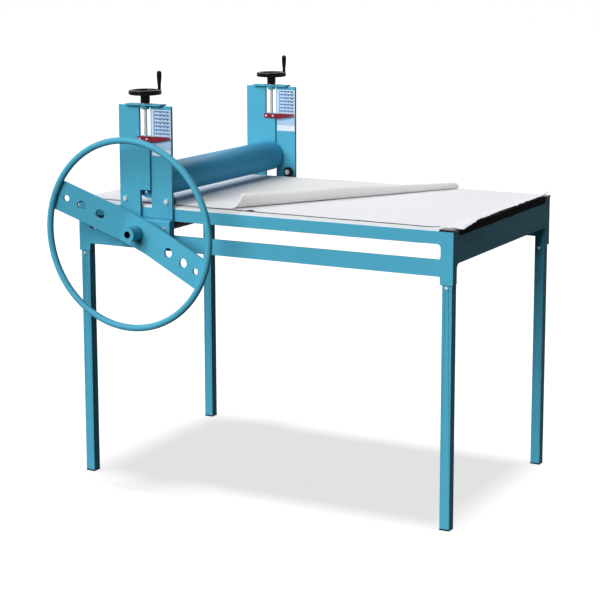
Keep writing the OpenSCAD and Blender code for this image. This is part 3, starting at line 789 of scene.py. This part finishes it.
def photo_camera():
    """The photograph's own viewpoint, found from its straight edges."""
    az, pitch, roll = (math.radians(a) for a in CAMERA_ANGLES)
    forward = Vector((-math.sin(az) * math.cos(pitch), math.cos(az) * math.cos(pitch), -math.sin(pitch)))
    right = Vector((math.cos(az), math.sin(az), 0.0))
    up = right.cross(forward)
    x = right * math.cos(roll) + up * math.sin(roll)
    y = up * math.cos(roll) - right * math.sin(roll)
    data = bpy.data.cameras.new("photo_camera")
    data.sensor_width = SENSOR
    data.lens = FOCAL_PIXELS / PHOTO_PIXELS * SENSOR
    data.shift_x = 0.03
    data.shift_y = -0.10
    data.clip_end = 60.0
    cam = bpy.data.objects.new("photo_camera", data)
    scene.collection.objects.link(cam)
    place = Matrix((x, y, -forward)).transposed().to_4x4()
    cam.matrix_world = Matrix.Translation(MIDDLE + CAMERA_PLACE) @ place
    scene.camera = cam


photo_camera()


# Floor and light
# Strength of the floor's glow to the camera, to diffuse rays, and to reflections
FLOOR_SEEN = 0.75
FLOOR_SOFT = 0.028
FLOOR_MIRROR = 0.36
# Strength of the world to diffuse rays, and the highest in reflections
WORLD_SOFT = 0.028
WORLD_MIRROR = 0.95


def shiny_rays(tree):
    """The Light Path node, and whether a ray is a reflection or goes through glass."""
    path = tree.nodes.new("ShaderNodeLightPath")
    shiny = tree.nodes.new("ShaderNodeMath")
    shiny.operation = "MAXIMUM"
    tree.links.new(path.outputs["Is Glossy Ray"], shiny.inputs[0])
    tree.links.new(path.outputs["Is Transmission Ray"], shiny.inputs[1])
    return path, shiny.outputs[0]


def fade(tree, value, start, end, low, high):
    """A value mapped from start and end to low and high."""
    node = tree.nodes.new("ShaderNodeMapRange")
    for key, number in (("From Min", start), ("From Max", end), ("To Min", low), ("To Max", high)):
        node.inputs[key].default_value = number
    tree.links.new(value, node.inputs["Value"])
    return node.outputs[0]


def floor():
    """White to the camera and in reflections, but for the table's soft shadow, and dim to diffuse light."""
    mat = bpy.data.materials.new("pale_floor")
    mat.use_nodes = True
    tree = mat.node_tree
    bsdf = tree.nodes["Principled BSDF"]
    bsdf.inputs["Base Color"].default_value = (0.80, 0.80, 0.80, 1)
    bsdf.inputs["Roughness"].default_value = 0.95
    bsdf.inputs["Specular IOR Level"].default_value = 0.0
    glow = tree.nodes.new("ShaderNodeEmission")
    glow.inputs["Color"].default_value = (1.0, 0.985, 0.99, 1)
    glow.inputs["Strength"].default_value = FLOOR_SEEN
    total = tree.nodes.new("ShaderNodeAddShader")
    tree.links.new(bsdf.outputs[0], total.inputs[0])
    tree.links.new(glow.outputs[0], total.inputs[1])
    glows = []
    for strength in (FLOOR_SOFT, FLOOR_MIRROR):
        glows.append(tree.nodes.new("ShaderNodeEmission"))
        glows[-1].inputs["Strength"].default_value = strength
    path, shiny = shiny_rays(tree)
    unseen = tree.nodes.new("ShaderNodeMixShader")
    tree.links.new(shiny, unseen.inputs[0])
    for k, glow_node in enumerate(glows):
        tree.links.new(glow_node.outputs[0], unseen.inputs[k + 1])
    seen = tree.nodes.new("ShaderNodeMixShader")
    tree.links.new(path.outputs["Is Camera Ray"], seen.inputs[0])
    tree.links.new(unseen.outputs[0], seen.inputs[1])
    tree.links.new(total.outputs[0], seen.inputs[2])
    tree.links.new(seen.outputs[0], tree.nodes["Material Output"].inputs["Surface"])
    size = 20.0
    o = mesh_object("studio_floor", [(-size, -size, 0), (size, -size, 0), (size, size, 0), (-size, size, 0)],
                    [(0, 1, 2, 3)], [mat], smooth=False)
    return o


def world():
    """Dim for the shading, white behind the object, and in reflections darker near and to the right."""
    w = bpy.data.worlds.new("studio")
    scene.world = w
    w.use_nodes = True
    tree = w.node_tree
    tree.nodes.clear()
    tones = {}
    for key, strength in (("soft", WORLD_SOFT), ("mirror", WORLD_MIRROR), ("white", 1.0)):
        tones[key] = tree.nodes.new("ShaderNodeBackground")
        tones[key].inputs["Color"].default_value = (1, 1, 1, 1)
        tones[key].inputs["Strength"].default_value = strength
    tones["soft"].inputs["Color"].default_value = (0.82, 0.92, 1.0, 1)
    xyz = tree.nodes.new("ShaderNodeSeparateXYZ")
    tree.links.new(tree.nodes.new("ShaderNodeTexCoord").outputs["Generated"], xyz.inputs[0])
    total = tree.nodes.new("ShaderNodeMath")
    tree.links.new(xyz.outputs[1], total.inputs[0])
    tree.links.new(xyz.outputs[2], total.inputs[1])
    far = fade(tree, total.outputs[0], -0.85, 0.25, 0.10, WORLD_MIRROR)
    left = fade(tree, xyz.outputs[0], 0.0, 0.45, 1.0, 0.15)
    mirror = tree.nodes.new("ShaderNodeMath")
    mirror.operation = "MULTIPLY"
    tree.links.new(far, mirror.inputs[0])
    tree.links.new(left, mirror.inputs[1])
    tree.links.new(mirror.outputs[0], tones["mirror"].inputs["Strength"])
    path, shiny = shiny_rays(tree)
    first = tree.nodes.new("ShaderNodeMixShader")
    tree.links.new(shiny, first.inputs[0])
    tree.links.new(tones["soft"].outputs[0], first.inputs[1])
    tree.links.new(tones["mirror"].outputs[0], first.inputs[2])
    second = tree.nodes.new("ShaderNodeMixShader")
    tree.links.new(path.outputs["Is Camera Ray"], second.inputs[0])
    tree.links.new(first.outputs[0], second.inputs[1])
    tree.links.new(tones["white"].outputs[0], second.inputs[2])
    out = tree.nodes.new("ShaderNodeOutputWorld")
    tree.links.new(second.outputs[0], out.inputs["Surface"])


def sun(name, towards, strength, angle, ground, only_ground):
    """A sun shining towards a direction, on the floor alone or on everything but the floor."""
    data = bpy.data.lights.new(name, "SUN")
    data.energy = strength
    data.angle = math.radians(angle)
    o = bpy.data.objects.new(name, data)
    o.rotation_euler = Vector(towards).to_track_quat("-Z", "Y").to_euler()
    scene.collection.objects.link(o)
    group = bpy.data.collections.new(f"{name}_floor")
    group.objects.link(ground)
    o.light_linking.receiver_collection = group
    group.collection_objects[0].light_linking.link_state = "INCLUDE" if only_ground else "EXCLUDE"


ground = floor()
world()
# Each sun: name, direction it shines in, strength, angle in degrees, and whether it lights only the floor
SUNS = [
    ("key", (0.16, 0.835, -0.53), 3.17, 45.0, False),
    ("left", (0.75, 0.15, -0.62), 0.85, 40.0, False),
    ("back", (0.10, -0.74, -0.66), 1.0, 40.0, False),
    ("overhead", (0.0, 0.0, -1.0), 1.6, 14.0, True),
]
for name, towards, strength, angle, only_ground in SUNS:
    sun(name, towards, strength, angle, ground, only_ground)

scene.view_settings.view_transform = "Standard"
